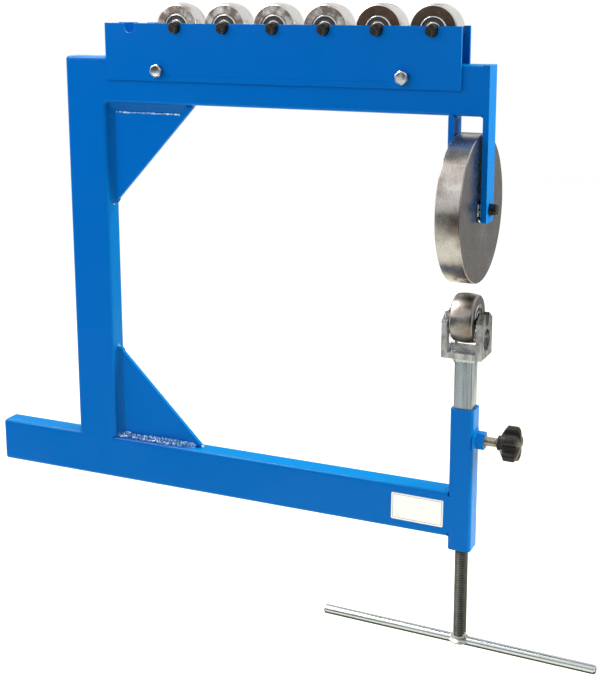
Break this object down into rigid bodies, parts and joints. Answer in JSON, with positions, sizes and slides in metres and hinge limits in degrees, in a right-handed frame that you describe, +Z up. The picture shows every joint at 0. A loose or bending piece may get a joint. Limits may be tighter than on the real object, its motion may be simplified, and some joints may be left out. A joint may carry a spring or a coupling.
{
  "type": "english wheel",
  "caption": "Vise-held english wheel: box-tube C frame, flat upper wheel in a fork, screw-raised anvil roller in a yoke, and a rack of spare rollers.",
  "frame": {"origin": "underside of the lower beam, halfway between the post and the ram sleeve, where a vise holds it", "axes": "+X from the post towards the wheels, +Z up, the user stands at -Y"},
  "size_m": [0.7236, 0.15, 0.6725],
  "materials": {
    "blue_paint": "glossy blue enamel over welded mild steel",
    "polished_steel": "ground and polished rolling surface",
    "scaled_steel": "ground tread with dark brown mill scale left on the sides",
    "machined_steel": "bare milled steel, slightly oily",
    "plated_steel": "bright zinc plate",
    "blackened_steel": "black oxide",
    "threaded_steel": "dark rolled thread",
    "bearing_steel": "bright rings with black rubber seals",
    "black_plastic": "moulded black plastic, semi-matt"
  },
  "bodies": {
    "frame": {"post": "blue_paint", "top_beam": "blue_paint", "lower_beam": "blue_paint", "upper_gusset": "blue_paint", "lower_gusset": "blue_paint", "outer_fork_leg": "blue_paint", "inner_fork_leg": "blue_paint", "ram_sleeve": "blue_paint", "lift_nut": "machined_steel", "lock_nut": "blue_paint", "rack_front_plate": "blue_paint", "rack_back_plate": "blue_paint", "rack_bolt_left": "plated_steel", "rack_bolt_right": "plated_steel", "rack_nut_left": "plated_steel", "rack_nut_right": "plated_steel", "wheel_axle": "blackened_steel", "wheel_spacer_left": "machined_steel", "wheel_spacer_right": "machined_steel"},
    "wheel": {"upper_wheel": "polished_steel", "wheel_bearing_left": "bearing_steel", "wheel_bearing_right": "bearing_steel"},
    "ram": {"ram": "plated_steel", "anvil_yoke": "machined_steel", "anvil_axle": "blackened_steel"},
    "anvil": {"anvil_roller": "polished_steel", "anvil_bearing_left": "bearing_steel", "anvil_bearing_right": "bearing_steel"},
    "screw": {"lift_screw": "threaded_steel", "lift_handle": "plated_steel"},
    "stud": {"lock_stud": "plated_steel"},
    "knob": {"lock_knob": "black_plastic"},
    "spare_pin_1": {"spare_axle_1": "blackened_steel"},
    "spare_pin_2": {"spare_axle_2": "blackened_steel"},
    "spare_pin_3": {"spare_axle_3": "blackened_steel"},
    "spare_pin_4": {"spare_axle_4": "blackened_steel"},
    "spare_pin_5": {"spare_axle_5": "blackened_steel"},
    "spare_pin_6": {"spare_axle_6": "blackened_steel"},
    "spare_1": {"spare_roller_1": "polished_steel", "spare_bearing_1_front": "bearing_steel", "spare_bearing_1_back": "bearing_steel"},
    "spare_2": {"spare_roller_2": "polished_steel", "spare_bearing_2_front": "bearing_steel", "spare_bearing_2_back": "bearing_steel"},
    "spare_3": {"spare_roller_3": "polished_steel", "spare_bearing_3_front": "bearing_steel", "spare_bearing_3_back": "bearing_steel"},
    "spare_4": {"spare_roller_4": "polished_steel", "spare_bearing_4_front": "bearing_steel", "spare_bearing_4_back": "bearing_steel"},
    "spare_5": {"spare_roller_5": "scaled_steel", "spare_bearing_5_front": "bearing_steel", "spare_bearing_5_back": "bearing_steel"},
    "spare_6": {"spare_roller_6": "scaled_steel", "spare_bearing_6_front": "bearing_steel", "spare_bearing_6_back": "bearing_steel"}
  },
  "joints": [
    {"name": "wheel_spin", "type": "hinge", "parent": "frame", "child": "wheel", "pos_m": [0.21475, 0, 0.348], "axis": [1, 0, 0], "continuous": true},
    {"name": "ram_lift", "type": "slide", "parent": "frame", "child": "ram", "axis": [0, 0, 1], "range_m": [-0.048, 0.012]},
    {"name": "anvil_spin", "type": "hinge", "parent": "ram", "child": "anvil", "pos_m": [0.21475, 0, 0.2353], "axis": [1, 0, 0], "continuous": true},
    {"name": "screw_turn", "type": "hinge", "parent": "ram", "child": "screw", "pos_m": [0.21475, 0, -0.1195], "axis": [0, 0, 1], "range_deg": [-8639, 2159]},
    {"name": "stud_travel", "type": "slide", "parent": "frame", "child": "stud", "axis": [1, 0, 0], "range_m": [0, 0.0045]},
    {"name": "knob_turn", "type": "hinge", "parent": "stud", "child": "knob", "pos_m": [0.25095, 0, 0.107], "axis": [1, 0, 0], "range_deg": [0, 1081]},
    {"name": "spare_lift_1", "type": "slide", "parent": "frame", "child": "spare_pin_1", "axis": [0, 0, 1], "range_m": [0, 0.03]},
    {"name": "spare_lift_2", "type": "slide", "parent": "frame", "child": "spare_pin_2", "axis": [0, 0, 1], "range_m": [0, 0.03]},
    {"name": "spare_lift_3", "type": "slide", "parent": "frame", "child": "spare_pin_3", "axis": [0, 0, 1], "range_m": [0, 0.03]},
    {"name": "spare_lift_4", "type": "slide", "parent": "frame", "child": "spare_pin_4", "axis": [0, 0, 1], "range_m": [0, 0.03]},
    {"name": "spare_lift_5", "type": "slide", "parent": "frame", "child": "spare_pin_5", "axis": [0, 0, 1], "range_m": [0, 0.03]},
    {"name": "spare_lift_6", "type": "slide", "parent": "frame", "child": "spare_pin_6", "axis": [0, 0, 1], "range_m": [0, 0.03]},
    {"name": "spare_spin_1", "type": "hinge", "parent": "spare_pin_1", "child": "spare_1", "pos_m": [-0.10915, 0, 0.5225], "axis": [0, 1, 0], "continuous": true},
    {"name": "spare_spin_2", "type": "hinge", "parent": "spare_pin_2", "child": "spare_2", "pos_m": [-0.05195, 0, 0.5225], "axis": [0, 1, 0], "continuous": true},
    {"name": "spare_spin_3", "type": "hinge", "parent": "spare_pin_3", "child": "spare_3", "pos_m": [0.00525, 0, 0.5225], "axis": [0, 1, 0], "continuous": true},
    {"name": "spare_spin_4", "type": "hinge", "parent": "spare_pin_4", "child": "spare_4", "pos_m": [0.06245, 0, 0.5225], "axis": [0, 1, 0], "continuous": true},
    {"name": "spare_spin_5", "type": "hinge", "parent": "spare_pin_5", "child": "spare_5", "pos_m": [0.11965, 0, 0.5225], "axis": [0, 1, 0], "continuous": true},
    {"name": "spare_spin_6", "type": "hinge", "parent": "spare_pin_6", "child": "spare_6", "pos_m": [0.17685, 0, 0.5225], "axis": [0, 1, 0], "continuous": true}
  ],
  "couplings": [
    {"joint": "ram_lift", "follows": "screw_turn", "m_per_rad": 0.00031831},
    {"joint": "knob_turn", "follows": "stud_travel", "rad_per_m": 4188.8}
  ]
}
